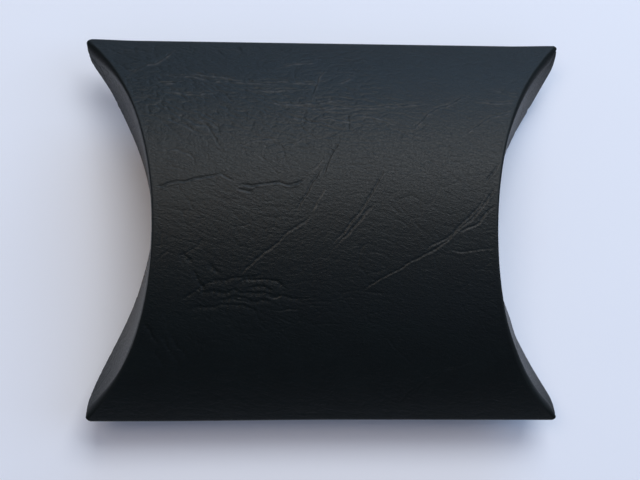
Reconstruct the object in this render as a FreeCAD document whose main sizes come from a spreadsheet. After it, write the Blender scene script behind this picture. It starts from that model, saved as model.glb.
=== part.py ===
import FreeCAD, Part
import os

# A pillow box: one card blank bent into two bulged faces, closed at each end
# by two flaps that fold in along curved score lines.
# X runs along the folded edges, Y across them and Z up from the table.
doc = FreeCAD.newDocument("pillow_box")

SIZES = [
    # Overall shape of the folded box
    ("length", 115.0),
    ("width", 92.0),
    ("base_rise", 14.0),
    ("top_rise", 17.0),
    ("rest_width", 20.0),
    ("board", 0.5),
    # Folded long edges and curved scores
    ("fold_width", 1.6),
    ("score_width", 1.0),
    ("clearance", 0.2),
    # How far the end creases of each face curve in on the middle line
    ("top_depth", 17.4),
    ("base_depth", 17.4),
    # Outer flaps: radius of the bend level with each face, and lean over the height
    ("outer_top_radius", 102.0),
    ("outer_base_radius", 46.0),
    ("outer_lean", 3.0),
    ("outer_gap", 2.5),
    # Inner flaps
    ("inner_top_radius", 46.0),
    ("inner_base_radius", 70.0),
    ("inner_lean", 11.0),
    ("inner_reach", 20.0),
    # Glued seam
    ("tab_width", 12.0),
    ("tab_setback", 9.5),
    ("tab_taper", 9.0),
    ("adhesive", 0.1),
    ("adhesive_margin", 2.0),
    ("film_clearance", 0.04),
]

sheet = doc.addObject("Spreadsheet::Sheet", "sizes")
for row, (alias, value) in enumerate(SIZES, start=1):
    sheet.set(f"A{row}", alias)
    sheet.set(f"B{row}", str(value))
    sheet.setAlias(f"B{row}", alias)
doc.recompute()

TALL = "(sizes.base_rise + sizes.top_rise)"
HALF_WIDTH = "(sizes.width / 2)"
HALF_REST = "(sizes.rest_width / 2)"
TOP_RADIUS = f"(({HALF_WIDTH} ^ 2 + sizes.top_rise ^ 2) / (2 * sizes.top_rise))"
BASE_RUN = f"({HALF_WIDTH} - {HALF_REST})"
BASE_RADIUS = f"(({BASE_RUN} ^ 2 + sizes.base_rise ^ 2) / (2 * sizes.base_rise))"
PANEL_EDGE = f"({HALF_WIDTH} - sizes.fold_width)"
FLAP_EDGE = f"({PANEL_EDGE} - sizes.clearance)"
# Solids that only trim others run this far past the box
PAST = "10"
ALONG_X = FreeCAD.Rotation(FreeCAD.Vector(0, 1, 0), 90)


def add(kind, name, **expressions):
    """A feature with its properties bound to sizes."""
    feature = doc.addObject(kind, name)
    for prop, expression in expressions.items():
        feature.setExpression(prop, expression)
    return feature


def place(feature, x="0", y="0", z="0"):
    for axis, expression in (("x", x), ("y", y), ("z", z)):
        feature.setExpression(f"Placement.Base.{axis}", expression)


def block(name, y_from, y_to, z_from, z_to):
    """A block as long as the box, for a span of Y and Z."""
    feature = add("Part::Box", name, Length="sizes.length", Width=f"{y_to} - ({y_from})",
                  Height=f"{z_to} - ({z_from})")
    place(feature, "-sizes.length / 2", y_from, z_from)
    return feature


def rod(name, radius, y, z):
    """A round bar as long as the box, along X."""
    feature = add("Part::Cylinder", name, Radius=radius, Height="sizes.length")
    feature.Placement.Rotation = ALONG_X
    place(feature, "-sizes.length / 2", y, z)
    return feature


def cut(name, base, tool):
    feature = doc.addObject("Part::Cut", name)
    feature.Base = base
    feature.Tool = tool
    return feature


def common(name, *shapes):
    feature = doc.addObject("Part::MultiCommon", name)
    feature.Shapes = list(shapes)
    return feature


def fuse(name, *shapes):
    feature = doc.addObject("Part::MultiFuse", name)
    feature.Shapes = list(shapes)
    return feature


def mirrored(name, source):
    """The same piece at the right-hand end."""
    feature = doc.addObject("Part::Mirroring", name)
    feature.Source = source
    feature.Base = FreeCAD.Vector(0, 0, 0)
    feature.Normal = FreeCAD.Vector(1, 0, 0)
    return feature


def top_bar(name, inset):
    """The round that the upper face follows, moved in by an inset."""
    return rod(name, f"{TOP_RADIUS} - ({inset})", "0", f"{TALL} - {TOP_RADIUS}")


def lens(name, inset):
    """The section of the box moved in by an inset: a round top over a base with a flat middle."""
    front = rod(f"{name}_front", f"{BASE_RADIUS} - ({inset})", f"-{HALF_REST}", BASE_RADIUS)
    rear = rod(f"{name}_rear", f"{BASE_RADIUS} - ({inset})", HALF_REST, BASE_RADIUS)
    middle = block(f"{name}_middle", f"-{HALF_REST}", HALF_REST, inset, BASE_RADIUS)
    base = fuse(f"{name}_base", front, rear, middle)
    return common(name, top_bar(f"{name}_top", inset), base)


def bend(name, top_radius, base_radius, top_x, base_x, offset):
    """The cone that an end flap at the left is bent round, grown by an offset."""
    rings = []
    for end, z in (("low", f"-{PAST}"), ("high", f"({TALL} + {PAST})")):
        share = f"({z}) / {TALL}"
        radius = f"({base_radius} + ({top_radius} - {base_radius}) * {share})"
        reach = f"({base_x} + ({top_x} - ({base_x})) * {share})"
        ring = add("Part::Circle", f"{name}_{end}", Radius=f"{radius} + {offset}")
        place(ring, f"-({reach} + {radius})", "0", z)
        rings.append(ring)
    cone = doc.addObject("Part::Loft", name)
    cone.Sections = rings
    cone.Solid = True
    cone.Ruled = True
    return cone


TOP_REACH = "(sizes.length / 2 - sizes.top_depth)"
BASE_REACH = "(sizes.length / 2 - sizes.base_depth)"
OUTER_BEND = (
    "sizes.outer_top_radius",
    "sizes.outer_base_radius",
    TOP_REACH,
    f"({TOP_REACH} + sizes.outer_lean)",
)
INNER_BEND = (
    "sizes.inner_top_radius",
    "sizes.inner_base_radius",
    f"({BASE_REACH} - sizes.inner_lean)",
    BASE_REACH,
)
SCORE_END = "(sizes.board + sizes.clearance)"
PANEL_END = f"({SCORE_END} + sizes.score_width)"

# The card as a tube, and its two faces between the folded edges
outside = lens("outside", "0")
inside = lens("inside", "sizes.board")
tube = cut("tube", outside, inside)
top_span = block("top_span", f"-{PANEL_EDGE}", PANEL_EDGE, "sizes.base_rise", f"({TALL} + {PAST})")
base_span = block("base_span", f"-{PANEL_EDGE}", PANEL_EDGE, f"-{PAST}", "sizes.base_rise")
top_face = common("top_face", tube, top_span)
base_face = common("base_face", tube, base_span)


def face_parts(word, face, bend_sizes):
    """A face cut back at both ends, and the score strips its flaps fold on."""
    panel_end = bend(f"{word}_panel_end", *bend_sizes, PANEL_END)
    score_end = bend(f"{word}_score_end", *bend_sizes, SCORE_END)
    both_ends = fuse(f"{word}_both_ends", panel_end, mirrored(f"{word}_panel_end_right", panel_end))
    panel = cut(f"{word}_panel_cut", face, both_ends)
    score = cut(f"{word}_score_cut", common(f"{word}_score_strip", face, panel_end), score_end)
    return panel, score


def flap(word, bend_sizes, edge_bar):
    """The left flap of one kind: a bent sheet inside the section of the box, up to its free edge."""
    sheet_out = bend(f"{word}_flap_out", *bend_sizes, "0")
    sheet_in = bend(f"{word}_flap_in", *bend_sizes, "sizes.board")
    span = block(f"{word}_flap_span", f"-{FLAP_EDGE}", FLAP_EDGE, f"-{PAST}", f"({TALL} + {PAST})")
    return common(f"{word}_flap_cut", cut(f"{word}_flap_sheet", sheet_in, sheet_out), outside, span, edge_bar)


top_panel, outer_score = face_parts("outer", top_face, OUTER_BEND)
bottom_panel, inner_score = face_parts("inner", base_face, INNER_BEND)

# Each free edge is an arc between the folded edges, through its height on the middle line
OUTER_SAG = "(sizes.base_rise - sizes.outer_gap)"
OUTER_EDGE = f"(({HALF_WIDTH} ^ 2 + {OUTER_SAG} ^ 2) / (2 * {OUTER_SAG}))"
INNER_SAG = "(sizes.inner_reach - sizes.base_rise)"
INNER_EDGE = f"(({HALF_WIDTH} ^ 2 + {INNER_SAG} ^ 2) / (2 * {INNER_SAG}))"
outer_bar = rod("outer_edge", OUTER_EDGE, "0", f"sizes.outer_gap + {OUTER_EDGE}")
inner_bar = rod("inner_edge", INNER_EDGE, "0", f"sizes.inner_reach - {INNER_EDGE}")
outer_flap = flap("outer", OUTER_BEND, outer_bar)
inner_flap = flap("inner", INNER_BEND, inner_bar)

# Folded long edges
front_span = block("front_span", f"-({HALF_WIDTH} + {PAST})", f"-{PANEL_EDGE}", "0", TALL)
seam_span = block("seam_span", PANEL_EDGE, f"({HALF_WIDTH} + {PAST})", "0", TALL)
front_fold = common("front_fold_cut", tube, front_span)
seam_fold = common("seam_fold_cut", tube, seam_span)

# Glue tab under the top panel, narrowing away from the seam, and the glue on it
GLUE_INSET = "(sizes.board + sizes.film_clearance)"
GLUE_UNDER = f"({GLUE_INSET} + sizes.adhesive)"
TAB_INSET = f"({GLUE_UNDER} + sizes.film_clearance)"
HALF_TAB = "(sizes.length / 2 - sizes.tab_setback)"
HALF_GLUE = f"({HALF_TAB} - sizes.tab_taper - sizes.adhesive_margin)"
tab_top = top_bar("tab_top", TAB_INSET)
tab_under = top_bar("tab_under", f"{TAB_INSET} + sizes.board")
tab_outline = add(
    "Part::Wedge", "tab_outline",
    Xmin=f"-{HALF_TAB} + sizes.tab_taper", Xmax=f"{HALF_TAB} - sizes.tab_taper",
    X2min=f"-{HALF_TAB}", X2max=HALF_TAB,
    Ymin=f"{PANEL_EDGE} - sizes.tab_width", Ymax=HALF_WIDTH,
    Zmin="0", Zmax=TALL, Z2min="0", Z2max=TALL,
)
glue_tab = common("glue_tab_cut", cut("tab_sheet", tab_top, tab_under), tab_outline, inside)

glue_top = top_bar("glue_top", GLUE_INSET)
glue_under = top_bar("glue_under", GLUE_UNDER)
glue_outline = add(
    "Part::Box", "glue_outline", Length=f"2 * {HALF_GLUE}",
    Width="sizes.tab_width - 2 * sizes.adhesive_margin", Height=TALL,
)
place(glue_outline, f"-{HALF_GLUE}", f"{PANEL_EDGE} - sizes.tab_width + sizes.adhesive_margin")
seam_adhesive = common("seam_adhesive_cut", cut("glue_film", glue_top, glue_under), glue_outline)

NODES = {
    "top_panel": top_panel,
    "bottom_panel": bottom_panel,
    "front_fold": front_fold,
    "seam_fold": seam_fold,
    "glue_tab": glue_tab,
    "seam_adhesive": seam_adhesive,
    "left_outer_flap": outer_flap,
    "left_inner_flap": inner_flap,
    "left_outer_score": outer_score,
    "left_inner_score": inner_score,
    "right_outer_flap": mirrored("right_outer_flap_cut", outer_flap),
    "right_inner_flap": mirrored("right_inner_flap_cut", inner_flap),
    "right_outer_score": mirrored("right_outer_score_cut", outer_score),
    "right_inner_score": mirrored("right_inner_score_cut", inner_score),
}
for label, feature in NODES.items():
    feature.Label = label

doc.recompute()
for feature in doc.Objects:
    if "Invalid" in feature.State or "Error" in feature.State:
        raise RuntimeError(f"{feature.Name} did not build")
for label, feature in NODES.items():
    shape = feature.Shape
    if shape.isNull() or not shape.isValid() or len(shape.Solids) != 1:
        raise RuntimeError(f"{label} is not one valid solid")

os.makedirs("parts", exist_ok=True)
for label, feature in NODES.items():
    feature.Shape.exportStep(f"parts/{label}.step")
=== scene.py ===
"""Pillow box of black leather-grain card, closed, lying on a pale table."""
import math

import bpy
import numpy as np
from mathutils import Euler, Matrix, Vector


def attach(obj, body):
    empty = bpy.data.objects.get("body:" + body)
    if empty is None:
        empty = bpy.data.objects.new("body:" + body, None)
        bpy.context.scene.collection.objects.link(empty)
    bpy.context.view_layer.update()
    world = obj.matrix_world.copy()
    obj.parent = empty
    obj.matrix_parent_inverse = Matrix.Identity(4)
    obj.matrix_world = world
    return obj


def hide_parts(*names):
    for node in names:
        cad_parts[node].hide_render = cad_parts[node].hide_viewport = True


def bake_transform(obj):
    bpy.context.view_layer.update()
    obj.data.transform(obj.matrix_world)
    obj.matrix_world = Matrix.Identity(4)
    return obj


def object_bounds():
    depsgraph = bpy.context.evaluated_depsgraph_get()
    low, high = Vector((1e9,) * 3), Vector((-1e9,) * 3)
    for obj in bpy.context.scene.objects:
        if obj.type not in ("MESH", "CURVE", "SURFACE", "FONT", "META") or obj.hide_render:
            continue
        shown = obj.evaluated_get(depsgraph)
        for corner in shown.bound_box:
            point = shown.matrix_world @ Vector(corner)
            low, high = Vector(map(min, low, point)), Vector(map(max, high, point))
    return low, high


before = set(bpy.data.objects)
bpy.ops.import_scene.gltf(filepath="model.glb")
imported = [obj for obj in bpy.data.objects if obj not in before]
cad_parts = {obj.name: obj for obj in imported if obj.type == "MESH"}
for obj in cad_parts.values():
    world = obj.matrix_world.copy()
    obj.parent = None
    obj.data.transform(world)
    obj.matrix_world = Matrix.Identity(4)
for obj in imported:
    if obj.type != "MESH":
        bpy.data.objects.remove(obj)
cad_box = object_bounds()

# Sizes are in millimetres, and this brings them to Blender's metres
MM = 0.001
LEFT, RIGHT = -1, 1
FRONT, REAR = -1, 1

# The folded box, with its overall size from the frame: the card, the height of the long edges, half the
# strip that it rests on, and the heights of the flaps' free edges in the middle
HALF_LENGTH, HALF_WIDTH, TOP_HEIGHT = (round(float(c) / MM, 3) for c in cad_box[1])
BOARD = 0.5
EDGE_HEIGHT, HALF_REST = 14.0, 10.0
OUTER_EDGE_HEIGHT, INNER_EDGE_HEIGHT = 2.5, 20.0


def arc_round(half_span, rise):
    """Radius of an arc with this half span and rise."""
    return (half_span**2 + rise**2) / (2 * rise)


TOP_ROUND = arc_round(HALF_WIDTH, TOP_HEIGHT - EDGE_HEIGHT)
BASE_ROUND = arc_round(HALF_WIDTH - HALF_REST, EDGE_HEIGHT)
OUTER_EDGE_ROUND = arc_round(HALF_WIDTH, EDGE_HEIGHT - OUTER_EDGE_HEIGHT)
INNER_EDGE_ROUND = arc_round(HALF_WIDTH, INNER_EDGE_HEIGHT - EDGE_HEIGHT)

# Each flap is bent to a cone: how far out its middle stands at the table, how far that leans in by the
# top, and its bend at the table and at the top
OUTER_CONE = (43.1, 3.0, 46.0, 102.0)
INNER_CONE = (40.1, 11.0, 70.0, 46.0)
# The outer flap is blunt at its tips, and its free edge is fuller beside the corners than a plain arc
TIP_REACH, TIP_EASE = HALF_LENGTH - 0.3, 0.3
FULLER, FULLER_FROM, FULLER_TO = 1.3, (10.0, 30.0), (40.0, 45.0)

# How each outer flap has settled: how far its free edge has moved out, between two stretches of Y.
# The left one is drawn in along its far half, the right one stands a little proud
SETTLED = {
    "left_outer_flap": (
        (-1.05, (-14.0, 4.0), (33.0, 43.0)),
        (0.25, (-41.0, -36.0), (-24.0, -10.0)),
    ),
    "right_outer_flap": (
        (0.4, (22.0, 34.0), (43.5, HALF_WIDTH)),
        (0.8, (-27.0, -20.0), (-16.0, -9.0)),
        (0.25, (-HALF_WIDTH, -44.0), (-41.0, -32.0)),
    ),
}

# Sizes that grow from the middle of an end towards its tips: the size in the middle, how much more it is
# at the tips, and the stretch of Y over which it grows.
# The panel starts to turn this far before the crease, a crisp fold
PANEL_ROLL = (0.5, 0.4, (40.0, 45.0))
# The flap goes on turning this far past the crease, softer on the right, but not over its whole height
FLAP_ROLL = {LEFT: (1.0, 4.4, (27.0, 43.0)), RIGHT: (1.6, 4.2, (8.0, 38.0))}
ROLL_LIMIT = 0.85
# The crease stands out this far beyond the flap's cone
CREASE_PUSH = {LEFT: (0.0, 0.6, (28.0, 43.0)), RIGHT: (0.0, 0.9, (18.0, 32.0))}
# The score has crushed the grain over this width
SCORE_WIDTH = {LEFT: (0.6, 3.6, (32.0, 44.0)), RIGHT: (1.4, 2.6, (16.0, 38.0))}
SCORE_START = (-0.2, 0.5)

# The score draws the card in just past the fold: how far, how far past, and for flaps of these heights
PINCH, PINCH_PLACE, PINCH_HEIGHTS = 0.3, 0.8, (2.0, 9.0)

# Handling has rounded the four tips, a little inside the box's length and width, the card's back more
LEFT_ROUND, RIGHT_NEAR_ROUND, RIGHT_FAR_ROUND = 2.2, 1.6, 1.3
TIP_MARGIN = (0.2, 0.25)
BACK_INSET = 0.4
# The near edge sags out, more towards the left, and three tips have moved a little
SAG, LEFT_SAG = 0.2, 0.5
NEAR_LEFT_IN, FAR_LEFT_OUT, FAR_TIPS_OUT = 0.5, 0.3, 0.25
NEAR_STRIP, FAR_STRIP = (28.0, HALF_WIDTH), (38.0, HALF_WIDTH)
LEFTWARD, LEFT_TIPS, BOTH_TIPS = (-10.0, 50.0), (50.0, HALF_LENGTH), (45.0, HALF_LENGTH)

# The panels stop where the folded edges begin to turn, and the grain fades out before folds and creases
FOLD_START, FOLD_RUN = 45.2, 1.6
FOLD_FADE = (FOLD_START - 1.4, FOLD_START - 0.1)
CREASE_FADE = (0.0, 1.3)

# Points across the grain face, all in whole steps of the coarser back, and where shading breaks
ROWS, PANEL_COLUMNS, ROLL_COLUMNS, FOLD_ROWS = 472, 368, 8, 16
STEP = 8
SHARP_TURN = math.radians(62)


def ease(value, low, high):
    """From 0 to 1 between two values, smooth at both."""
    t = np.clip((value - low) / (high - low), 0.0, 1.0)
    return t * t * (3.0 - 2.0 * t)


def swell(value, rise, fall):
    """1 between two stretches, easing in over the first and out over the second."""
    return ease(value, *rise) * (1 - ease(value, *fall))


def top_height(y):
    """Height of the top panel's grain face."""
    return TOP_HEIGHT - TOP_ROUND + np.sqrt(TOP_ROUND**2 - y**2)


def base_height(y):
    """Height of the bottom panel's grain face, flat along the strip that it rests on."""
    bulge = np.clip(np.abs(y) - HALF_REST, 0.0, None)
    return BASE_ROUND - np.sqrt(BASE_ROUND**2 - bulge**2)


def cone_reach(y, z, foot, lean, bend_low, bend_high):
    """How far out a flap's grain face stands."""
    up = z / TOP_HEIGHT
    bend = bend_low + (bend_high - bend_low) * up
    return foot - lean * up + bend - np.sqrt(bend**2 - y**2)


def outer_flap_reach(y, z):
    """The outer flap's cone, tighter towards the table and blunt at its tips."""
    reach = cone_reach(y, z, *OUTER_CONE)
    return reach - TIP_EASE * np.log1p(np.exp((reach - TIP_REACH) / TIP_EASE))


def inner_flap_reach(y, z):
    """The inner flap's cone, tighter towards the top."""
    return cone_reach(y, z, *INNER_CONE)


def outer_flap_edge(y):
    """Height of the outer flap's free edge."""
    fuller = FULLER * swell(np.abs(y), FULLER_FROM, FULLER_TO)
    return OUTER_EDGE_HEIGHT + OUTER_EDGE_ROUND - np.sqrt(OUTER_EDGE_ROUND**2 - y**2) - fuller


def inner_flap_edge(y):
    """Height of the inner flap's free edge."""
    return INNER_EDGE_HEIGHT - INNER_EDGE_ROUND + np.sqrt(INNER_EDGE_ROUND**2 - y**2)


# Leather grain pressed into the card

# The roller's grain, as sizes along and across the blank: small cells, ripples, which are deeper where
# the roller was worn, and a few veins, each with its depth
CELL, CELL_VALLEY, CELL_DEPTH = (1.5, 0.9), 0.35, 0.02
RIPPLE, RIPPLE_EDGE, RIPPLE_DEPTH, WORN_DEPTH = (2.4, 0.62), 5, 0.03, 0.03
VEIN, VEIN_VALLEY, VEIN_DEPTH = (7.5, 3.6), 0.08, 0.06
# Where the roller was worn and where veins show, as the size of the patches and the share that they take
WORN_PATCH, WORN_SHARE = (22.0, 15.0), (0.25, 0.75)
VEIN_PATCH, VEIN_SHARE = (9.0, 6.0), (0.45, 0.75)
# The grain sways, as distances and the size of the patches, and slants along the box in a slow wave
GRAIN_SWAY_ALONG = ((1.6, (5.0, 5.0)), (5.0, (17.0, 17.0)))
GRAIN_SWAY_ACROSS = ((1.2, (5.0, 4.0)), (4.0, (21.0, 15.0)))
SLANT, SLANT_WAVE = 0.2, 8.0
# The roller pressed harder towards the far edge and lighter towards the right
PRESS, FAR_PRESS, FAR_HALF = 0.8, 0.5, (8.0, 24.0)
RIGHT_EASED, RIGHT_HALF = 0.35, (8.0, 30.0)


def scatter(i, j, seed):
    """A fixed number from 0 to 1 for each square of a lattice, by mixing its bits."""
    n = (i.astype(np.int64) * 374761393 + j.astype(np.int64) * 668265263 + seed * 974634541) & 0xFFFFFFFF
    n = ((n ^ (n >> 13)) * 1274126177) & 0xFFFFFFFF
    return ((n ^ (n >> 16)) & 0xFFFF) / 65535.0


def drift(u, v, patch, seed):
    """Soft unevenness from 0 to 1, with hills about a patch's size apart."""
    a, b = u / patch[0], v / patch[1]
    i, j = np.floor(a), np.floor(b)
    p, q = ease(a - i, 0.0, 1.0), ease(b - j, 0.0, 1.0)
    near = scatter(i, j, seed) * (1 - p) + scatter(i + 1, j, seed) * p
    far = scatter(i, j + 1, seed) * (1 - p) + scatter(i + 1, j + 1, seed) * p
    return near * (1 - q) + far * q


def sway(u, v, sways, seed):
    """How far a pattern has strayed from its place, as the sum of several sways."""
    return sum(far * (drift(u, v, patch, seed + k) - 0.5) for k, (far, patch) in enumerate(sways))


def pebbles(u, v, cell, seed):
    """Gap between the two nearest pebble middles, as a share of a cell: 0 in the valleys."""
    a, b = u / cell[0], v / cell[1]
    i, j = np.floor(a), np.floor(b)
    first = np.full(u.shape, np.inf)
    second = np.full(u.shape, np.inf)
    for di in (-1, 0, 1):
        for dj in (-1, 0, 1):
            gap = np.hypot(
                i + di + scatter(i + di, j + dj, seed) - a,
                j + dj + scatter(i + di, j + dj, seed + 7) - b,
            )
            second = np.minimum(second, np.maximum(first, gap))
            first = np.minimum(first, gap)
    return second - first


def pressed_grain(u, v, seed):
    """Depth of the roller's grain below the card's face, on the flat blank."""
    wu = u + sway(u, v, GRAIN_SWAY_ALONG, seed + 1)
    wv = v + sway(u, v, GRAIN_SWAY_ACROSS, seed + 3) + SLANT * (u - SLANT_WAVE * np.sin(u / SLANT_WAVE))
    worn = ease(drift(u, v, WORN_PATCH, seed + 5), *WORN_SHARE)
    cells = 1.0 - ease(pebbles(wu, wv, CELL, seed), 0.0, CELL_VALLEY)
    ripples = (1.0 - np.abs(2.0 * drift(wu, wv, RIPPLE, seed + 6) - 1.0)) ** RIPPLE_EDGE
    veins = 1.0 - ease(pebbles(wu, wv, VEIN, seed + 8), 0.0, VEIN_VALLEY)
    shown = ease(drift(u, v, VEIN_PATCH, seed + 9), *VEIN_SHARE)
    press = (PRESS + FAR_PRESS * ease(v, *FAR_HALF)) * (1.0 - RIGHT_EASED * ease(u, *RIGHT_HALF))
    depth = CELL_DEPTH * cells + (RIPPLE_DEPTH + WORN_DEPTH * worn) * ripples + VEIN_DEPTH * veins * shown
    return -press * depth


# Wrinkles of the grain

# A wrinkle is thin at its ends, over a share of its length up to a limit. Its ridge stands so many widths
# from its valley, its beads are shallower between, and beyond so many widths it is left out
THIN_SHARE, THIN_LENGTH, THIN_DEPTH = 0.2, 3.0, 0.2
RIDGE_PLACE = 1.7
BEAD_DIP = 0.25
WRINKLE_REACH = 9.0
ROUTE_STEPS = 10


def smooth_route(points):
    """Points close together on a smooth line through these few."""
    p = np.array(points, float)
    p = np.vstack([2 * p[0] - p[1], p, 2 * p[-1] - p[-2]])
    t = np.linspace(0, 1, ROUTE_STEPS, endpoint=False)[:, None]
    runs = [
        0.5 * (2 * b + (c - a) * t + (2 * a - 5 * b + 4 * c - d) * t**2 + (3 * b - a - 3 * c + d) * t**3)
        for a, b, c, d in zip(p[:-3], p[1:-2], p[2:-1], p[3:])
    ]
    return np.vstack(runs + [p[-2:-1]])


def wrinkle(x, y, points, depth, width, beads, lift, gentle=1.0):
    """One pressed wrinkle, as its depth and the strength of a painted highlight on its ridge, 0 to 1.

    It is a narrow valley with a ridge on its near or right side, thin at its ends. Where gentle is
    more than 1, it rises that many times more gently on that side.
    """
    route = smooth_route(points)
    depths, highlight_amount = np.zeros(x.shape), np.zeros(x.shape)
    low = route.min(axis=0) - WRINKLE_REACH * width
    high = route.max(axis=0) + WRINKLE_REACH * width
    near = (x > low[0]) & (x < high[0]) & (y > low[1]) & (y < high[1])
    px, py = x[near], y[near]
    best = np.full(px.shape, np.inf)
    where = np.zeros(px.shape)
    beside = np.zeros(px.shape)
    run = 0.0
    for a, b in zip(route[:-1], route[1:]):
        d = b - a
        length = math.hypot(*d)
        t = np.clip(((px - a[0]) * d[0] + (py - a[1]) * d[1]) / length**2, 0, 1)
        gap = np.hypot(px - a[0] - t * d[0], py - a[1] - t * d[1])
        # The near side of a level line, the right side of a steep one
        ridge_side = 1 if 0.5 * d[1] + d[0] > 0 else -1
        off = np.where(ridge_side * ((px - a[0]) * d[1] - (py - a[1]) * d[0]) > 0, gap, -gap)
        closer = gap < best
        best = np.where(closer, gap, best)
        beside = np.where(closer, off, beside)
        where = np.where(closer, run + t * length, where)
        run += length
    thin = min(THIN_SHARE * run, THIN_LENGTH)
    taper = THIN_DEPTH + (1 - THIN_DEPTH) * swell(where, (0, thin), (run - thin, run))
    if beads:
        taper = taper * (1 - BEAD_DIP + BEAD_DIP * np.cos(2 * math.pi * where / beads))
    valley = np.exp(-((beside / np.where(beside > 0, gentle * width, width)) ** 2))
    ridge = np.exp(-(((beside - RIDGE_PLACE * width) / width) ** 2))
    depths[near] = depth * taper * (lift * ridge - valley)
    highlight_amount[near] = taper * ridge
    return depths, highlight_amount


# Where the photograph was taken from, its turn in radians, and its lens on a 36 mm wide frame
EYE, EYE_TURN = (-16.65, -11.61, 340.0), (0.0281, -0.0494, 0.0066)
LENS, LENS_FRAME = 75.65, 36.0
# The camera's view of the top panel, true to size at this distance and measured from the panel's middle
VIEW_DISTANCE, VIEW_MIDDLE = 315.5, (0.47, 2.11)


def in_view(points):
    """Where the camera sees spots of the top panel, in millimetres from the middle of the panel."""
    seen = (points - np.array(EYE)) @ np.array(Euler(EYE_TURN).to_matrix())
    return [-VIEW_DISTANCE * seen[..., k] / seen[..., 2] - VIEW_MIDDLE[k] for k in (0, 1)]


# Wrinkles of the grain on the top panel, as routes in millimetres in the camera's view of it:
# valleys are single lines, those near the camera broken ones, diagonals are uneven, bead rows are
# lines of small pits, and the rest are shallow: far ones with a strong painted highlight on their
# ridges, fine ones a little and faint ones hardly at all
VALLEYS = [
    [(-39.6, 10.1), (-34.3, 11.5), (-29, 12.4), (-23, 13.6)],
    [(-24, 13.4), (-21, 11.7)],
    [(-19.9, 10.3), (-15.7, 10.8), (-10, 11.5), (-6.8, 11), (-2.8, 13.3)],
    [(-20, 9.8), (-18, 9.4), (-16, 9.8)],
]
NEAR_VALLEYS = [
    [(-27.7, -12.2), (-23, -11.5), (-16.4, -10.7), (-13.8, -9.6)],
    [(-28.2, -14), (-22.3, -14.3), (-14, -14.5), (-3.5, -16.4)],
    [(-20.4, -13.4), (-17.6, -11.5), (-11.5, -11.5), (-8.9, -13.4)],
    [(-31.2, -17.8), (-26.3, -17.8), (-22, -17), (-14.8, -19)],
    [(-27, -7.7), (-23.9, -9.6)],
    [(-32.8, -5.2), (-30.3, -7.7)],
    [(-42, -20.9), (-40.2, -23.4), (-38, -26.3)],
    [(-37.5, -23.9), (-35.2, -28.4), (-33.3, -31.9)],
    [(-35.7, -23.9), (-33.4, -27.2), (-31, -30.3)],
    [(-39.9, -27.9), (-38.2, -30.4), (-36.4, -32.6)],
    [(-30.4, -8.6), (-29.2, -10.9), (-28, -13.3), (-28.6, -15.6)],
    [(-26.9, -12.1), (-28.6, -12.9), (-30.4, -14.4), (-32.7, -16)],
    [(-24.5, -15.9), (-19.4, -15.6), (-15.5, -16.6), (-11.6, -16.2)],
    [(-17.5, -13.2), (-14.3, -12.8), (-11.5, -13.9)],
]
DIAGONALS = [
    [(-2.5, 3.8), (-4.7, 1.8), (-7.2, 0.1), (-9.5, -1.9), (-11.4, -3.6), (-15.4, -6.7), (-19.3, -10.4)],
    [(14.7, 14.7), (12.7, 10.8), (10.7, 7.5), (9.1, 4.7), (6.7, 2), (4.7, -1), (2.7, -2.8)],
    [(12.3, 6.3), (9.9, 3.8), (7.9, 1.4), (5.9, -1), (3.5, -3.4)],
    [(41.5, 16), (39.7, 13.3), (38.6, 11.1)],
    [(38.1, 7.8), (36.6, 5.4), (33.9, 2.7), (31.1, -0.1), (29.3, -1.5), (26.1, -3.4), (24.3, -4.7)],
    [(41, 10.7), (38.6, 7.1), (35.8, 3.5), (31.3, -0.5)]
    + [(26.7, -4.3), (20.4, -7.3), (13.5, -11.6), (8.9, -14)],
    [(41, 6.3), (39.7, 5.2), (37.8, 3.3), (36.3, 1.6), (34.5, 0.6), (31.9, -0.7)],
    [(0, 15), (-1.6, 12.2), (-2.6, 10.7), (-3.5, 8.7), (-4.4, 7.4), (-5.9, 4.5)],
    [(4, 21.2), (2.9, 19.1), (2, 17.7), (0.8, 14.2), (0.2, 12.7)],
]
BEAD_ROWS = [
    [(0.6, 10.3), (-0.3, 8.3), (-2.4, 4.4)],
    [(0.3, 17.3), (-0.5, 16.3), (-1.8, 15), (-2.8, 14.2)],
    [(40.8, -4), (34.7, -4.7), (29.6, -4.6)],
    [(20.4, -38.7), (26.3, -33.3), (31.4, -32)],
]
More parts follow.
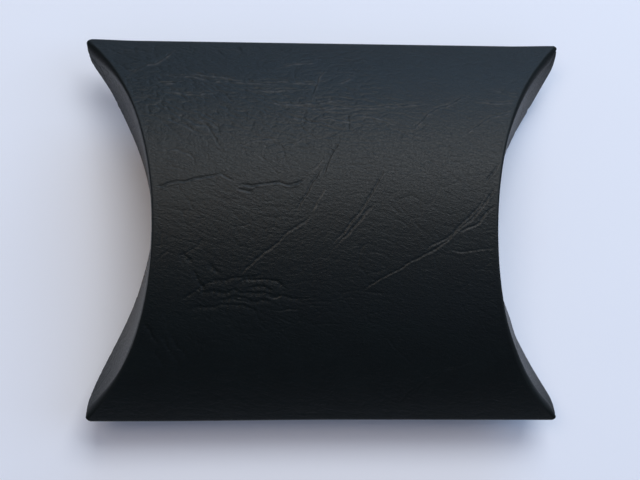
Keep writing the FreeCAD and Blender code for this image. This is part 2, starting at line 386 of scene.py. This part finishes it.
FAR_LINES = [
    # far left, along the long edge
    [(-45.5, 36.6), (-42, 38.9), (-37.6, 40.1), (-34.5, 42.5)],
    [(-37.6, 36.8), (-29.4, 36.1), (-26.3, 35.4), (-21.2, 35.4), (-14.5, 34.8), (-9, 34.6)],
    [(-31, 37.1), (-23.9, 36.4), (-19.2, 35.8)],
    [(-38.5, 34.8), (-34.3, 34.9)],
    [(-36.4, 32.9), (-31, 32.4), (-24.9, 32.5)],
    # far middle
    [(-16, 35.7), (-9.9, 35.3), (-5.2, 35.1), (0, 34.5)],
    [(-20.6, 33.9), (-12.2, 33.2), (-5, 33.4)],
    [(-10.6, 38.5), (-5.9, 39.5), (-1, 40.1)],
    [(0.6, 38), (-0.8, 35.9), (-2.4, 31.4)],
    [(-13.5, 30.5), (-8.3, 30), (-3.6, 30.1), (5.4, 31.1)],
    [(-9, 29.9), (-3, 29), (4, 28.1)],
    [(-9, 27.2), (-3.6, 26), (3, 24.7)],
    # far right
    [(-2, 28.2), (4.2, 29.3), (9.7, 29), (15.2, 29.3), (24.5, 30)],
    [(-2, 26.8), (4.2, 26.2), (9, 25.2)],
    [(7.6, 27.4), (13.6, 26.4), (17, 25)],
    [(21, 23.6), (25.3, 28), (29.6, 29.6), (34, 32)],
    [(32.4, 22.1), (37.1, 25.3), (41, 27.2), (46, 28.2)],
    [(36.3, 30.4), (46, 30.2)],
    [(40, 33.5), (46.5, 31.5)],
    [(4.2, 34.7), (6.9, 36.2)],
]
FAINT_LINES = [
    # right of the middle
    [(15.5, 6.6), (17.4, 4.9), (19.2, 3.3)],
    [(16.4, 2.8), (18.3, 2.3), (20.6, 0.9)],
    [(21.6, 2.1), (23.9, 0), (25.3, -1.2)],
    [(13.1, -1.9), (16, -2.8), (18.8, -4)],
    [(10.3, -4.2), (13.6, -5.2), (16.4, -6.3), (18.8, -7.3)],
    [(9.4, -5.9), (12.2, -6.8), (15, -8.4), (16.9, -8.9)],
]
FINE_LINES = [
    # left of the middle
    [(-36.4, 26.9), (-34, 25.4), (-31.7, 24.5), (-28.6, 23.4)],
    [(-33.3, 26.7), (-30.3, 25.7), (-28.6, 25), (-26.6, 24.2), (-25.3, 21.8), (-23.6, 18.8)],
    [(-30, 26.5), (-27, 25.9), (-25.3, 24.9), (-23.6, 24.3)],
    [(-38.5, 19.7), (-31, 18.1), (-29.6, 15.7)],
    [(-20.2, 20), (-16.2, 20.9), (-12.9, 21.7), (-8.8, 21.8)],
    [(-15, 17.8), (-12.7, 16)],
    [(-7.5, 19.7), (-4.8, 21.7), (-1.8, 22.9)],
    # near left
    [(-16.4, -11.7), (-12.2, -11.3), (-9.1, -12.9), (-7.5, -14.1)],
    [(-13.6, -15.2), (-11, -15.5), (-8.9, -15)],
    [(-21.1, -16), (-18.8, -16.7), (-16.9, -17.1)],
    [(-29.6, -16.2), (-27.2, -17.4)],
    [(-12.7, -18.3), (-10.3, -18.8), (-7.5, -18.3), (-5.2, -18.5)],
    [(-7, -15.5), (-4.2, -16), (-0.9, -16)],
    [(-10.8, -20.4), (-6.6, -21.8)],
    [(-15, -21.3), (-12.7, -22.8)],
    # near right
    [(15, -25.1), (17.4, -27.4), (19.7, -29.8), (21.6, -31.9)],
    [(18.3, -39.6), (20.2, -38), (21.6, -36.8)],
    [(23, -35), (25.8, -34.3), (29.1, -32.4), (32.4, -31.7), (34.7, -30.7), (38.2, -30)],
]

# How each kind is pressed: its depth and width, the spacing of its beads or 0 for a plain line, its
# ridge as a share of the depth, how many times more gently it rises on that side, the strength of the
# painted highlight on the ridge, and how far the line wavers
WRINKLE_KINDS = (
    (VALLEYS, 0.135, 0.21, 0, 0.45, 1.0, 0.25, 0.8),
    (NEAR_VALLEYS, 0.16, 0.2, 1.3, 0.0, 3.2, 0, 1.1),
    (DIAGONALS, 0.15, 0.22, 1.5, 0.4, 1.0, 0.3, 0.4),
    (BEAD_ROWS, 0.08, 0.2, 1.0, 0.6, 1.0, 0.6, 0.2),
    (FAR_LINES, 0.1, 0.17, 2.6, 0.7, 1.0, 0.5, 0.3),
    (FINE_LINES, 0.075, 0.18, 0, 0.4, 1.0, 0.3, 0.8),
    (FAINT_LINES, 0.035, 0.18, 0, 0.3, 1.0, 0.05, 0.8),
)
WRINKLE_SEED, WRINKLE_SWAY, WAVER_PATCH = 31, ((0.4, (1.7, 1.7)),), (2.3, 2.3)
# Painted highlight: it lies on the ridges of the far half only, where the light falls, in small patches
LIT_HALF, HIGHLIGHT_PATCH, HIGHLIGHT_SHARE = (-14.0, 6.0), (0.9, 0.9), (0.1, 0.7)

# Wrinkles with no set place, for the faces that the photograph leaves out: heading and turn in radians, as
# middle and spread, then the length and number of steps, and how they are pressed
STRAY_HEADING, STRAY_TURN = (0.15, 0.5), (0.0, 0.18)
STRAY_STEP, STRAY_STEPS, STRAY_SWAY = 4.5, (2, 6), ((0.7, (3.0, 3.0)),)
# The last of these is the strength of a faint painted highlight on their ridges
STRAY_DEPTH, STRAY_WIDTH, STRAY_LIFT, STRAY_HIGHLIGHT = (0.06, 0.15), 0.37, 0.4, 0.05
STRAY_BEADS, BEADED_SHARE = 1.3, 0.4
# A seed, how many there are, and the two corners of the blank between which they start
BASE_SEED, BASE_STRAYS = 5, (34, (-45, -44), (40, 44))
FLAP_SEED, FLAP_STRAYS = 20, (9, (42, -38), (66, 38))


def top_wrinkles(panel):
    """Depth and painted ridge highlight of all the wrinkles of the top panel."""
    x, y = in_view(panel)
    wx = x + sway(x, y, WRINKLE_SWAY, WRINKLE_SEED)
    wy = y + sway(x, y, WRINKLE_SWAY, WRINKLE_SEED + 1)
    # The painted highlight is kept to the far half, where the light falls
    lit_share = ease(y, *LIT_HALF) * ease(drift(x, y, HIGHLIGHT_PATCH, WRINKLE_SEED + 2), *HIGHLIGHT_SHARE)
    to_side = drift(x, y, WAVER_PATCH, WRINKLE_SEED + 3) - 0.5
    depths, highlight_amount = np.zeros(x.shape), np.zeros(x.shape)
    for routes, depth, width, beads, lift, gentle, painted_highlight, waver in WRINKLE_KINDS:
        for points in routes:
            placed = (wx, wy + waver * to_side, points)
            one_depth, one_highlight = wrinkle(*placed, depth, width, beads, lift, gentle)
            depths += one_depth
            highlight_amount = np.maximum(highlight_amount, painted_highlight * one_highlight)
    return depths, highlight_amount * lit_share


def stray_wrinkles(u, v, seed, count, low, high):
    """Depth and painted ridge highlight of wrinkles scattered over a stretch of the blank."""
    wu = u + sway(u, v, STRAY_SWAY, seed + 1)
    wv = v + sway(u, v, STRAY_SWAY, seed + 2)
    pick = np.random.default_rng(seed)
    found = []
    for _ in range(count):
        points = [pick.uniform(low, high)]
        heading = pick.normal(*STRAY_HEADING)
        turn = pick.normal(*STRAY_TURN)
        for _ in range(int(pick.integers(*STRAY_STEPS))):
            points.append(points[-1] + STRAY_STEP * np.array([math.cos(heading), math.sin(heading)]))
            heading += turn
        depth = pick.uniform(*STRAY_DEPTH)
        beads = STRAY_BEADS if pick.random() < BEADED_SHARE else 0
        found.append(wrinkle(wu, wv, points, depth, STRAY_WIDTH, beads, STRAY_LIFT))
    return sum(one[0] for one in found), STRAY_HIGHLIGHT * np.max([one[1] for one in found], axis=0)


# Faces of the box as rows of points, every row at one Y


def row_places(count):
    """Rows across a face, evenly spaced round its bulge."""
    turn = math.asin(FOLD_START / TOP_ROUND)
    return TOP_ROUND * np.sin(np.linspace(-turn, turn, count + 1))


def towards_tips(y, middle, more, grows):
    """A size that grows from the middle of an end towards its tips."""
    return middle + more * ease(np.abs(y), *grows)


def pinch(past, flap_height):
    """How far the scored crease draws the card in, at a distance past the fold."""
    return PINCH * np.exp(-(((past - PINCH_PLACE) / PINCH_PLACE) ** 2)) * ease(flap_height, *PINCH_HEIGHTS)


def rounded(start, corner, end, steps):
    """Rows of points round a fold, from one line to another, heading for the corner between them."""
    t = np.linspace(0, 1, steps + 1)[:, None, None]
    return start * (1 - t) ** 2 + 2 * corner * t * (1 - t) + end * t**2


def end_lines(y, face, reach, edge, columns, side):
    """One end of a face, as points (X, Z) for each row: the crease's roll, then the flap to its edge."""
    z_face = face(y)
    heading = np.sign(edge(0.0) - face(0.0))
    height = np.abs(edge(y) - z_face)
    crease = reach(y, z_face)
    nearby = 0.01
    slope = (reach(y, z_face + heading * nearby) - crease) / nearby
    flap_roll = np.minimum(towards_tips(y, *FLAP_ROLL[side]), ROLL_LIMIT * height)
    z_turned = z_face + heading * flap_roll / np.sqrt(1 + slope**2)
    x_turned = reach(y, z_turned) - pinch(np.abs(z_turned - z_face), height)
    start = np.stack([crease - towards_tips(y, *PANEL_ROLL), z_face], axis=-1)
    corner = np.stack([crease + towards_tips(y, *CREASE_PUSH[side]), z_face], axis=-1)
    turned = np.stack([x_turned, z_turned], axis=-1)
    roll = rounded(start, corner, turned, ROLL_COLUMNS).swapaxes(0, 1)
    share = np.linspace(0, 1, columns + 1)[None, :]
    z_flap = z_turned[:, None] * (1 - share) + edge(y)[:, None] * share
    x_flap = reach(y[:, None], z_flap) - pinch(np.abs(z_flap - z_face[:, None]), height[:, None])
    return roll, np.stack([x_flap, z_flap], axis=-1)


def panel_points(y, left_roll, right_roll):
    """A whole panel with the rolls at both its ends."""
    share = np.linspace(-1, 1, PANEL_COLUMNS + 1)[None, :]
    x = right_roll[:, :1, 0] * share
    between = np.stack([x, np.broadcast_to(right_roll[:, :1, 1], x.shape)], axis=-1)
    left = left_roll[:, :0:-1] * np.array([-1, 1])
    line = np.concatenate([left, between, right_roll[:, 1:]], axis=1)
    return np.stack([line[..., 0], np.broadcast_to(y[:, None], line.shape[:2]), line[..., 1]], axis=-1)


def flap_points(y, flap, side, settled):
    """A flap, with its free edge moved as it has settled."""
    share = np.linspace(0, 1, flap.shape[1])[None, :]
    out = sum(far * swell(y, rise, fall) for far, rise, fall in settled) + 0 * y
    x = flap[..., 0] + share * out[:, None]
    return np.stack([side * x, np.broadcast_to(y[:, None], x.shape), flap[..., 1]], axis=-1)


def run_along(points, start):
    """Distance along each row on the flat blank, from a start distance."""
    gaps = np.linalg.norm(np.diff(points, axis=1), axis=2)
    return start[:, None] + np.concatenate([np.zeros((len(points), 1)), np.cumsum(gaps, axis=1)], axis=1)


def outward(points, facing):
    """Direction square to the card at each point, away from its back."""
    normal = np.cross(np.gradient(points, axis=1), np.gradient(points, axis=0))
    return facing * normal / np.linalg.norm(normal, axis=2, keepdims=True)


def handled_shape(points, inset):
    """Takes the four tips of the box in to a small round, lets the near edge sag and moves the tips."""
    right_round = np.where(points[:, 1] < 0, RIGHT_NEAR_ROUND, RIGHT_FAR_ROUND)
    tip_round = np.where(points[:, 0] < 0, LEFT_ROUND, right_round)
    middle = np.array([HALF_LENGTH, HALF_WIDTH]) - np.array(TIP_MARGIN) - tip_round[:, None]
    over = np.clip(np.abs(points[:, :2]) - middle, 0.0, None)
    far = np.hypot(over[:, 0], over[:, 1])
    limit = tip_round - inset
    cut = (over.min(axis=1) > 0) & (far > limit)
    shrink = np.ones(len(points))
    shrink[cut] = limit[cut] / far[cut]
    x, y = (points[:, :2] - np.sign(points[:, :2]) * over * (1 - shrink[:, None])).T
    near, left_tips = ease(-y, *NEAR_STRIP), ease(-x, *LEFT_TIPS)
    y = y - near * (SAG + LEFT_SAG * ease(-x, *LEFTWARD))
    y = y + FAR_TIPS_OUT * ease(y, *FAR_STRIP) * ease(np.abs(x), *BOTH_TIPS)
    x = x + left_tips * (NEAR_LEFT_IN * near - FAR_LEFT_OUT * ease(y, *FAR_STRIP))
    return np.column_stack([x, y, points[:, 2]])


def crushed(past, y, right):
    """How far the score has crushed the grain at a distance past the start of the fold, 0 to 1."""
    at_left = towards_tips(y, *SCORE_WIDTH[LEFT])[:, None]
    at_right = towards_tips(y, *SCORE_WIDTH[RIGHT])[:, None]
    beyond = np.clip(past - SCORE_START[1], 0, None) / np.where(right, at_right, at_left)
    return ease(past, *SCORE_START) * np.exp(-(beyond**2))


def rim(grid):
    """The numbers round the outside of a grid of points, back to the first."""
    return np.concatenate([grid[0, :-1], grid[:-1, -1], grid[-1, :0:-1], grid[::-1, 0]])


def card_piece(name, points, facing, blank, relief, score, painted_highlight):
    """A closed sheet of card: the grain face, the plain back behind it, and the cut edge round both."""
    normal = outward(points, facing)
    back = (points - normal * BOARD)[::STEP, ::STEP]
    rows, columns = points.shape[:2]
    few_rows, few_columns = back.shape[:2]
    grain = handled_shape((points + normal * relief[..., None]).reshape(-1, 3), 0.0)
    back = handled_shape(back.reshape(-1, 3), BACK_INSET)
    a = np.arange(rows * columns).reshape(rows, columns)
    b = rows * columns + np.arange(few_rows * few_columns).reshape(few_rows, few_columns)
    grain_faces = np.stack([a[:-1, :-1], a[:-1, 1:], a[1:, 1:], a[1:, :-1]], axis=-1).reshape(-1, 4)
    back_faces = np.stack([b[:-1, :-1], b[1:, :-1], b[1:, 1:], b[:-1, 1:]], axis=-1).reshape(-1, 4)
    fine, coarse = rim(a).tolist(), rim(b).tolist()
    edge_faces = [
        fine[STEP * k : STEP * k + STEP + 1][::-1] + coarse[k : k + 2] for k in range(len(coarse) - 1)
    ]
    faces = grain_faces.tolist() + back_faces.tolist() + edge_faces
    if facing < 0:
        faces = [f[::-1] for f in faces]
    mesh = bpy.data.meshes.new(name)
    mesh.from_pydata((np.vstack([grain, back]) * MM).tolist(), [], faces)
    # The finishes are numbered: grain face, back, cut edge
    finish = np.zeros(len(faces), int)
    finish[len(grain_faces) :] = 1
    finish[len(grain_faces) + len(back_faces) :] = 2
    mesh.polygons.foreach_set("material_index", finish)
    mesh.polygons.foreach_set("use_smooth", np.ones(len(faces), bool))
    mesh.set_sharp_from_angle(angle=SHARP_TURN)
    place = mesh.attributes.new("blank", "FLOAT_VECTOR", "POINT")
    flat = np.vstack([blank.reshape(-1, 2), blank[::STEP, ::STEP].reshape(-1, 2)])
    place.data.foreach_set("vector", (np.column_stack([flat, 0 * flat[:, 0]]) * MM).ravel())
    # The score marks crushed grain; the other mark is a painted highlight on the wrinkles' ridges
    for mark, amount in (("score", score), ("painted_highlight", painted_highlight)):
        worn = mesh.attributes.new(mark, "FLOAT", "POINT")
        worn.data.foreach_set("value", np.concatenate([amount.ravel(), amount[::STEP, ::STEP].ravel()]))
    mesh.update()
    piece = bpy.data.objects.new(name, mesh)
    bpy.context.collection.objects.link(piece)
    return piece


# Each face: its bulge, its flaps' cone and free edge, their name and their columns of points, which way it
# faces, and the seed of its grain
FACES = (
    ("top", top_height, outer_flap_reach, outer_flap_edge, "outer", 96, 1, 11),
    ("bottom", base_height, inner_flap_reach, inner_flap_edge, "inner", 64, -1, 53),
)
pieces, borders = {}, {}
y = row_places(ROWS)
across = TOP_ROUND * np.arcsin(y / TOP_ROUND)
row_fade = 1 - ease(np.abs(y), *FOLD_FADE)[:, None]
for face_name, face, reach, edge, flap_kind, flap_columns, up, seed in FACES:
    rolls, flaps = {}, {}
    for side in (LEFT, RIGHT):
        rolls[side], flaps[side] = end_lines(y, face, reach, edge, flap_columns, side)
    panel = panel_points(y, rolls[LEFT], rolls[RIGHT])
    u = run_along(panel, -run_along(panel, 0 * y)[:, -1] / 2)
    v = np.broadcast_to(across[:, None], u.shape)
    fold_start = {LEFT: -u[:, [ROLL_COLUMNS]], RIGHT: u[:, [-1 - ROLL_COLUMNS]]}
    past_fold = np.abs(u) - np.where(u > 0, fold_start[RIGHT], fold_start[LEFT])
    fade = row_fade * ease(-past_fold, *CREASE_FADE)
    if up > 0:
        depths, painted_highlight = top_wrinkles(panel)
        relief = (pressed_grain(u, v, seed) + depths) * fade
    else:
        # The table presses the ridges of the lower face flat
        depths, painted_highlight = stray_wrinkles(u, v, BASE_SEED, *BASE_STRAYS)
        relief = np.minimum((pressed_grain(u, v, seed) + depths) * fade, 0.0)
    name = f"{face_name}_panel_card"
    score = crushed(past_fold, y, u > 0)
    pieces[name] = card_piece(name, panel, up, np.stack([u, v], axis=-1), relief, score, painted_highlight * fade)
    borders[face_name] = (panel[0], panel[-1], u[0])
    for side, end in ((LEFT, "left"), (RIGHT, "right")):
        body = f"{end}_{flap_kind}_flap"
        points = flap_points(y, flaps[side], side, SETTLED.get(body, ()))
        run = run_along(points, u[:, -1])
        v = np.broadcast_to(across[:, None], run.shape)
        depths, painted_highlight = stray_wrinkles(run, v, seed + FLAP_SEED + side, *FLAP_STRAYS)
        fade = row_fade * ease(run - u[:, -1:], *CREASE_FADE)
        relief = (pressed_grain(side * run, v, seed) + depths) * fade
        name = f"{body}_card"
        score = crushed(run - fold_start[side], y, side > 0)
        blank = np.stack([side * run, v], axis=-1)
        pieces[name] = card_piece(name, points, up * side, blank, relief, score, painted_highlight * fade)

# The folded long edges: a tight roll from the top panel round to the bottom one
for name, row, side in (("front_fold_card", 0, FRONT), ("seam_fold_card", 1, REAR)):
    upper, lower, run = borders["top"][row], borders["bottom"][row], borders["top"][2]
    tip = (upper + lower) / 2
    tip[:, 1], tip[:, 2] = side * HALF_WIDTH, EDGE_HEIGHT
    points = rounded(upper, tip, lower, FOLD_ROWS)
    bare = np.zeros(points.shape[:2])
    turn = np.linspace(0, FOLD_RUN, FOLD_ROWS + 1)[:, None] + np.abs(across[0])
    blank = np.stack([bare + run, bare + side * turn], axis=-1)
    pieces[name] = card_piece(name, points, side, blank, bare, bare, bare)


# Finishes


def linear(code):
    """Linear colour of an sRGB hex value."""
    parts = [int(code[i : i + 2], 16) / 255 for i in (1, 3, 5)]
    return (*[c / 12.92 if c <= 0.04045 else ((c + 0.055) / 1.055) ** 2.4 for c in parts], 1.0)


def per_metre(size):
    """Scale of a pattern whose marks are this many millimetres apart."""
    return 1 / (size * MM)


def add(tree, kind, settings=None, links=None):
    """One node with its settings and the links into it."""
    made = tree.nodes.new(kind)
    for key, value in (settings or {}).items():
        if isinstance(key, int) or key in made.inputs:
            made.inputs[key].default_value = value
        else:
            setattr(made, key, value)
    for key, source in (links or {}).items():
        tree.links.new(source, made.inputs[key])
    return made


def new_material(name):
    """An empty material and its tree of nodes."""
    material = bpy.data.materials.new(name)
    material.use_nodes = True
    material.node_tree.nodes.clear()
    return material, material.node_tree


def embossed_black_card():
    """Solid-dyed black card, pressed by a leather-grain roller.

    It is satin on the pebble tops, duller in the pores and along the scored creases, where the grain is
    crushed, and its colour is painted paler along the wrinkles' ridges as a painted highlight.
    """
    material, tree = new_material("embossed_black_card")
    spot = add(tree, "ShaderNodeAttribute", {"attribute_name": "blank"}).outputs["Vector"]
    dye = add(tree, "ShaderNodeTexNoise", {"Scale": per_metre(9.0), "Detail": 4.0}, {"Vector": spot})
    dyed = add(
        tree,
        "ShaderNodeMix",
        {"data_type": "RGBA", 6: linear("#060b0c"), 7: linear("#0b1314")},
        {0: dye.outputs["Fac"]},
    )
    painted_highlight = add(tree, "ShaderNodeAttribute", {"attribute_name": "painted_highlight"})
    # Painted highlight: the colour turns pale grey along the wrinkles' ridges
    tone = add(
        tree,
        "ShaderNodeMix",
        {"data_type": "RGBA", 7: linear("#4e4a45")},
        {0: painted_highlight.outputs["Fac"], 6: dyed.outputs[2]},
    )
    # Ripples finer than the mesh, 1.8 mm long and 0.6 mm wide, along the grain's slant
    flow = add(
        tree,
        "ShaderNodeMapping",
        {"vector_type": "TEXTURE", "Scale": (1.8 * MM, 0.6 * MM, 1.0), "Rotation": (0.0, 0.0, -0.25)},
        {"Vector": spot},
    )
    ripples = add(
        tree,
        "ShaderNodeTexNoise",
        {"Scale": 1.0, "Detail": 2.0, "Roughness": 0.6, "Distortion": 0.5},
        {"Vector": flow.outputs["Vector"]},
    )
    centred = add(tree, "ShaderNodeMath", {"operation": "SUBTRACT", 1: 0.5}, {0: ripples.outputs["Fac"]})
    valleys = add(tree, "ShaderNodeMath", {"operation": "ABSOLUTE"}, {0: centred.outputs["Value"]})
    pores = add(tree, "ShaderNodeTexNoise", {"Scale": per_metre(0.45), "Detail": 2.0}, {"Vector": spot})
    grit = add(
        tree,
        "ShaderNodeMath",
        {"operation": "MULTIPLY_ADD", 1: 0.25},
        {0: pores.outputs["Fac"], 2: valleys.outputs["Value"]},
    )
    bump = add(
        tree,
        "ShaderNodeBump",
        {"Strength": 1.0, "Distance": 0.12 * MM},
        {"Height": grit.outputs["Value"]},
    )
    gloss = add(
        tree,
        "ShaderNodeMapRange",
        {"From Min": 0.35, "From Max": 0.65, "To Min": 0.38, "To Max": 0.5},
        {"Value": pores.outputs["Fac"]},
    )
    score = add(tree, "ShaderNodeAttribute", {"attribute_name": "score"})
    dulled = add(
        tree,
        "ShaderNodeMath",
        {"operation": "MULTIPLY_ADD", "use_clamp": True, 1: 0.55},
        {0: score.outputs["Fac"], 2: gloss.outputs["Result"]},
    )
    shader = add(
        tree,
        "ShaderNodeBsdfPrincipled",
        {"IOR": 1.5, "Specular IOR Level": 0.215},
        {
            "Base Color": tone.outputs[2],
            "Roughness": dulled.outputs["Value"],
            "Normal": bump.outputs["Normal"],
        },
    )
    add(tree, "ShaderNodeOutputMaterial", links={"Surface": shader.outputs["BSDF"]})
    return material


def clouded(name, tones, cloud, relief, ior, roughness):
    """A finish of two tones clouded together, over a fine relief.

    The cloud has a size in millimetres and a detail, and the relief, if any, also a strength and a depth
    in millimetres.
    """
    material, tree = new_material(name)
    spot = add(tree, "ShaderNodeTexCoord").outputs["Object"]
    size, detail = cloud
    pattern = {"Scale": per_metre(size), "Detail": detail}
    clouds = add(tree, "ShaderNodeTexNoise", pattern, {"Vector": spot})
    dark, light = (linear(code) for code in tones)
    tone = add(tree, "ShaderNodeMix", {"data_type": "RGBA", 6: dark, 7: light}, {0: clouds.outputs["Fac"]})
    links = {"Base Color": tone.outputs[2]}
    if relief:
        size, detail, strength, depth = relief
        pattern = {"Scale": per_metre(size), "Detail": detail}
        marks = add(tree, "ShaderNodeTexNoise", pattern, {"Vector": spot})
        raised = {"Strength": strength, "Distance": depth * MM}
        bump = add(tree, "ShaderNodeBump", raised, {"Height": marks.outputs["Fac"]})
        links["Normal"] = bump.outputs["Normal"]
    shader = add(tree, "ShaderNodeBsdfPrincipled", {"IOR": ior, "Roughness": roughness}, links)
    add(tree, "ShaderNodeOutputMaterial", links={"Surface": shader.outputs["BSDF"]})
    return material


embossed = embossed_black_card()
# The card's back, uncoated as it left the paper machine: flat black with a felt-like fibre
plain = clouded(
    "plain_black_card",
    ("#17181a", "#232426"),
    cloud=(6.0, 5.0),
    relief=(0.4, 4.0, 0.6, 0.05),
    ior=1.45,
    roughness=0.8,
)
# Die-cut edge of the card: dyed fibres pressed open by the knife, a little paler than the faces
cut_edge = clouded(
    "die_cut_card_edge",
    ("#1b1b1c", "#303031"),
    cloud=(0.35, 4.0),
    relief=(0.35, 4.0, 0.7, 0.06),
    ior=1.45,
    roughness=0.9,
)
# Packaging glue, rolled on and dried to a cloudy film
glue = clouded(
    "dried_packaging_glue",
    ("#a89c80", "#cfc6ae"),
    cloud=(4.0, 3.0),
    relief=(4.0, 3.0, 0.4, 0.2),
    ior=1.47,
    roughness=0.35,
)
# White table top, sprayed with a matt lacquer: even in tone, with no clear reflection
table = clouded(
    "matt_white_table",
    ("#e6e9f1", "#eaedf4"),
    cloud=(90.0, 2.0),
    relief=None,
    ior=1.45,
    roughness=0.6,
)

for piece in pieces.values():
    for material in (embossed, plain, cut_edge):
        piece.data.materials.append(material)
for node_name, material in (("glue_tab", plain), ("seam_adhesive", glue)):
    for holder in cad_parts[node_name].material_slots:
        holder.material = material

# Each piece stands for its solids and moves with its body
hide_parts("top_panel", "left_outer_score", "right_outer_score")
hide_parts("bottom_panel", "left_inner_score", "right_inner_score")
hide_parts("front_fold")
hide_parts("seam_fold")
for name in ("top_panel_card", "bottom_panel_card", "front_fold_card", "seam_fold_card"):
    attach(pieces[name], "carton")

# The line from each crease's middle to its end at the corner, given as X and Z
CREASES = (
    ("outer", (outer_flap_reach(0.0, TOP_HEIGHT), TOP_HEIGHT), (57.4, 14.2)),
    ("inner", (inner_flap_reach(0.0, 0.0), 0.0), (56.3, 13.2)),
)
for end, side in (("left", LEFT), ("right", RIGHT)):
    for flap_kind, middle, corner in CREASES:
        body = f"{end}_{flap_kind}_flap"
        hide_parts(body)
        run = Vector((side * (corner[0] - middle[0]), 0.0, corner[1] - middle[1])).normalized()
        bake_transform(pieces[f"{body}_card"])

# A pale table, so many metres wide that a low view shows no end of it
TABLE_WIDTH = 12.0
bpy.ops.mesh.primitive_plane_add(size=TABLE_WIDTH, location=(0, 0, 0))
floor = bpy.context.object
floor.name = "table_top"
floor.data.materials.append(table)


def soft_light(name, place, aim, size, power, colour):
    """A soft panel of light, with its place, aim and size in metres and its power in watts."""
    lamp = bpy.data.lights.new(name, "AREA")
    lamp.shape = "RECTANGLE"
    lamp.size, lamp.size_y = size
    lamp.energy = power
    lamp.color = linear(colour)[:3]
    holder = bpy.data.objects.new(name, lamp)
    holder.location = place
    holder.rotation_euler = (Vector(aim) - Vector(place)).to_track_quat("-Z", "Y").to_euler()
    bpy.context.collection.objects.link(holder)


# Daylight from the rear, from above and from low down, with softer light from the sides and the front
soft_light("high_window", (0.32, 1.05, 1.6), (0, 0, 0), (1.1, 0.75), 21.2, "#f9fcff")
soft_light("low_window", (0.5, 1.5, 0.62), (0, 0, 0.02), (1.5, 0.65), 13.6, "#b3d7ff")
soft_light("cool_side", (1.25, 0.2, 1.2), (0, 0, 0), (0.9, 1.3), 7.4, "#c8deff")
soft_light("warm_side", (-0.5, 0.35, 1.65), (0, 0, 0), (0.6, 0.6), 5.8, "#ffebd9")
soft_light("front_fill", (0.55, -0.7, 1.6), (0, 0, 0), (1.0, 1.0), 1.4, "#c6ccff")

world = bpy.data.worlds.new("studio")
bpy.context.scene.world = world
world.use_nodes = True
world.node_tree.nodes.clear()
sky = add(world.node_tree, "ShaderNodeBackground", {"Color": linear("#bcc6dc"), "Strength": 0.15})
add(world.node_tree, "ShaderNodeOutputWorld", links={"Surface": sky.outputs["Background"]})

# The camera over the box
camera = bpy.data.cameras.new("camera")
camera.sensor_width = LENS_FRAME
camera.lens = LENS
camera.clip_start = 0.01
stand = bpy.data.objects.new("camera", camera)
stand.location = Vector(EYE) * MM
stand.rotation_euler = Euler(EYE_TURN)
bpy.context.collection.objects.link(stand)
bpy.context.scene.camera = stand
bpy.context.scene.view_settings.view_transform = "Standard"
